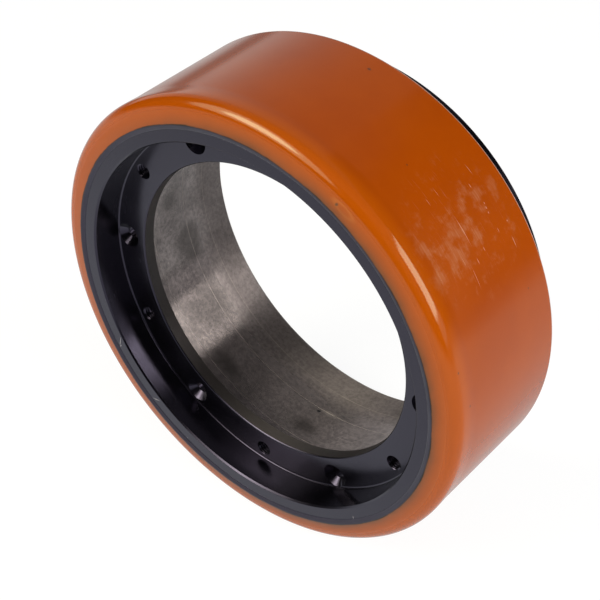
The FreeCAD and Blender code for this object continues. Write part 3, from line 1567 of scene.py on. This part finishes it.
@dataclass(frozen=True)
class SoftLamp:
    """A soft lamp that looks at the wheel.

    Attributes:
        name: the lamp's name.
        shape: its outline.
        azimuth: degrees from -Y towards +X.
        elevation: degrees above the horizon.
        wide: degrees that it spans from side to side, seen from the wheel.
        high: degrees that it spans from bottom to top.
        brightness: what a white card would have to reflect to look as bright.
        distance: from the wheel.
        mirrored: whether shiny surfaces show it.
        tint: the colour of its light.
    """

    name: str
    shape: LampShape
    azimuth: float
    elevation: float
    wide: float
    high: float
    brightness: float
    distance: float
    mirrored: bool = True
    tint: tuple[float, float, float] = (1.0, 1.0, 1.0)

    def hang(self) -> None:
        """Adds the lamp to the scene."""
        width = 2 * self.distance * math.tan(math.radians(self.wide) / 2)
        height = 2 * self.distance * math.tan(math.radians(self.high) / 2)
        area = width * height
        if self.shape is LampShape.DISH:
            area *= math.pi / 4
        data = bpy.data.lights.new(self.name, "AREA")
        data.shape = self.shape.value
        data.size = width
        data.size_y = height
        data.energy = self.brightness * math.pi * area
        data.color = self.tint
        lamp = bpy.data.objects.new(self.name, data)
        lamp.visible_camera = False
        lamp.visible_glossy = self.mirrored
        face_wheel(lamp, self.azimuth, self.elevation, self.distance, Vector())


@dataclass
class Studio:
    """A white floor, dark drapes round it, soft lamps and the camera."""

    floor_radius: float = 14.0
    floor_steps: int = 96
    floor_colour: Colour = (0.86, 0.86, 0.86, 1.0)
    floor_share: float = 0.85
    floor_white: Colour = (1.05, 1.05, 1.05, 1.0)
    mirrored_share: float = 0.9
    mirrored_tint: Colour = (0.83, 0.88, 0.89, 1.0)
    # a painted pool of light on the floor, seen in reflections
    pool_centre: tuple[float, float, float] = (-0.12, -0.08, 0.0)
    pool_reach: tuple[float, float] = (0.1, 0.3)
    pool_levels: tuple[float, float] = (0.98, 0.74)
    far_reach: tuple[float, float] = (0.8, 1.4)
    far_levels: tuple[float, float] = (1.0, 0.3)
    drape_radius: float = 3.0
    drape_height: float = 3.4
    drape_gaps: tuple[tuple[float, float], ...] = ((-176.0, -95.0), (84.0, 127.0))
    drape_steps: int = 90
    drape_colour: Colour = (0.02, 0.02, 0.02, 1.0)
    drape_folds: Colour = (0.035, 0.035, 0.035, 1.0)
    sky_colour: Colour = (1.0, 1.0, 1.0, 1.0)
    sky_top: float = 0.09
    sky_gain: float = 0.82
    sky_fall: float = 1.5
    lamps: tuple[SoftLamp, ...] = (
        SoftLamp("left_lamp", LampShape.DISH, -33, 37, 58, 44, 2.7, 1.6, tint=WARM),
        SoftLamp("left_lamp_core", LampShape.DISH, -33, 38, 30, 25, 7.6, 1.7, tint=WARM),
        SoftLamp("right_lamp", LampShape.PANEL, 101, 28, 44, 31, 5.8, 1.4, tint=MILD),
        SoftLamp("top_lamp", LampShape.DISH, 40, 78, 40, 40, 0.6, 1.6, mirrored=False),
        SoftLamp("front_lamp", LampShape.DISH, 55, 28, 40, 40, 3.0, 1.6, mirrored=False),
    )
    aim: tuple[float, float, float] = (7.5 * MM, 10.7 * MM, 4.3 * MM)
    azimuth: float = 39.35
    elevation: float = 39.65
    distance: float = 687.5 * MM
    lens: float = 90.06
    sensor: float = 36.0
    nearest: float = 10 * MM

    def floor_finish(self) -> bpy.types.Material:
        """Builds the floor's white, which is plain to light and bright to the eye and in mirrors. In
        mirrors its glow is a painted pool of light that dims with distance from a point in front of
        the wheel and to its left.

        Returns:
            The material.
        """
        material, graph = new_material("white_floor")
        path = graph.add("ShaderNodeLightPath", {}).outputs
        mirrored = graph.most(path["Is Glossy Ray"], path["Is Transmission Ray"])
        centred = {"Vector": graph.object_place(), "Location": self.pool_centre}
        away = graph.add("ShaderNodeMapping", centred, {"vector_type": "TEXTURE"}).outputs[0]
        away = graph.vector("LENGTH", away).outputs["Value"]
        mirrored_light_pool = graph.times(
            graph.rise(away, *self.pool_reach, *self.pool_levels),
            graph.rise(away, *self.far_reach, *self.far_levels),
        )
        bright = {
            "Color": graph.blend(mirrored, self.floor_white, self.mirrored_tint),
            "Strength": graph.most(mirrored_light_pool, path["Is Camera Ray"]),
        }
        share = graph.most(
            graph.times(path["Is Camera Ray"], self.floor_share),
            graph.times(mirrored, self.mirrored_share),
        )
        plain = graph.add("ShaderNodeBsdfDiffuse", {"Color": self.floor_colour}).outputs[0]
        white = graph.add("ShaderNodeEmission", bright).outputs[0]
        mixed = graph.add("ShaderNodeMixShader", {0: share, 1: plain, 2: white})
        graph.add("ShaderNodeOutputMaterial", {"Surface": mixed.outputs[0]})
        return material

    def lay_floor(self) -> None:
        """Lays the white floor that the wheel stands on."""
        deselect_all()
        bpy.ops.mesh.primitive_circle_add(
            vertices=self.floor_steps,
            radius=self.floor_radius,
            fill_type="NGON",
            location=(0, 0, CAD_BOX[0].z),
        )
        floor = bpy.context.object
        floor.name = "floor"
        floor.data.materials.append(self.floor_finish())

    def is_open(self, face: bmesh.types.BMFace) -> bool:
        """Tells the openings in the ring of drapes.

        Args:
            face: a face of the ring.

        Returns:
            True where no drape hangs.
        """
        centre = face.calc_center_median()
        azimuth = math.degrees(math.atan2(centre.x, -centre.y))
        return any(start < azimuth < end for start, end in self.drape_gaps)

    def hang_drapes(self) -> None:
        """Hangs dark drapes round the floor, open behind the wheel and beside it."""
        deselect_all()
        middle = CAD_BOX[0].z + self.drape_height / 2
        bpy.ops.mesh.primitive_cylinder_add(
            vertices=self.drape_steps,
            radius=self.drape_radius,
            depth=self.drape_height,
            end_fill_type="NOTHING",
            location=(0, 0, middle),
        )
        drapes = bpy.context.object
        drapes.name = "drapes"
        edit(drapes)
        pick_faces(drapes, self.is_open)
        bpy.ops.mesh.delete(type="FACE")
        deselect_all()
        material, graph = new_material("dark_drape")
        folds = graph.noise(graph.object_place(), 3.0, detail=2.0)
        colour = graph.blend(folds, self.drape_colour, self.drape_folds)
        close_material(graph, {"Base Color": colour, "Roughness": 1.0})
        drapes.data.materials.append(material)
        drapes.visible_camera = False

    def light_world(self) -> None:
        """Fills the room with light that falls off from the horizon upwards."""
        world = bpy.data.worlds.new("studio")
        bpy.context.scene.world = world
        world.use_nodes = True
        graph = Graph(world.node_tree)
        direction = graph.add("ShaderNodeTexCoord", {}).outputs["Generated"]
        height = graph.add("ShaderNodeSeparateXYZ", {0: direction}).outputs["Z"]
        low_down = graph.rise(height, 0.0, 1.0, start=1.0, end=0.0, falloff=Falloff.EVEN)
        fall = graph.math("POWER", low_down, self.sky_fall)
        level = graph.raised(self.sky_top, (fall, self.sky_gain))
        sky = graph.add("ShaderNodeBackground", {"Color": self.sky_colour, "Strength": level})
        graph.add("ShaderNodeOutputWorld", {"Surface": sky.outputs[0]})

    def set_camera(self) -> None:
        """Sets the camera up at the photograph's viewing angle."""
        data = bpy.data.cameras.new("camera")
        data.lens = self.lens
        data.sensor_width = self.sensor
        data.clip_start = self.nearest
        camera = bpy.data.objects.new("camera", data)
        face_wheel(camera, self.azimuth, self.elevation, self.distance, Vector(self.aim))
        bpy.context.scene.camera = camera

    def build(self) -> None:
        """Sets the studio up round the wheel."""
        self.lay_floor()
        self.hang_drapes()
        for lamp in self.lamps:
            lamp.hang()
        self.light_world()
        self.set_camera()
        bpy.context.scene.view_settings.view_transform = "Standard"


def main() -> None:
    """Builds the wheel and the studio round it."""
    logging.basicConfig(level=logging.INFO, format="%(name)s: %(message)s")
    paint = BlackPaint().make()
    for part in (Rim(), Tread()):
        piece = part.build()
        part.dress(piece, paint)
        LOG.info("%s has %d faces", piece.name, len(piece.data.polygons))
    Studio().build()
    LOG.info("the studio is set up")


if __name__ == "__main__":
    main()
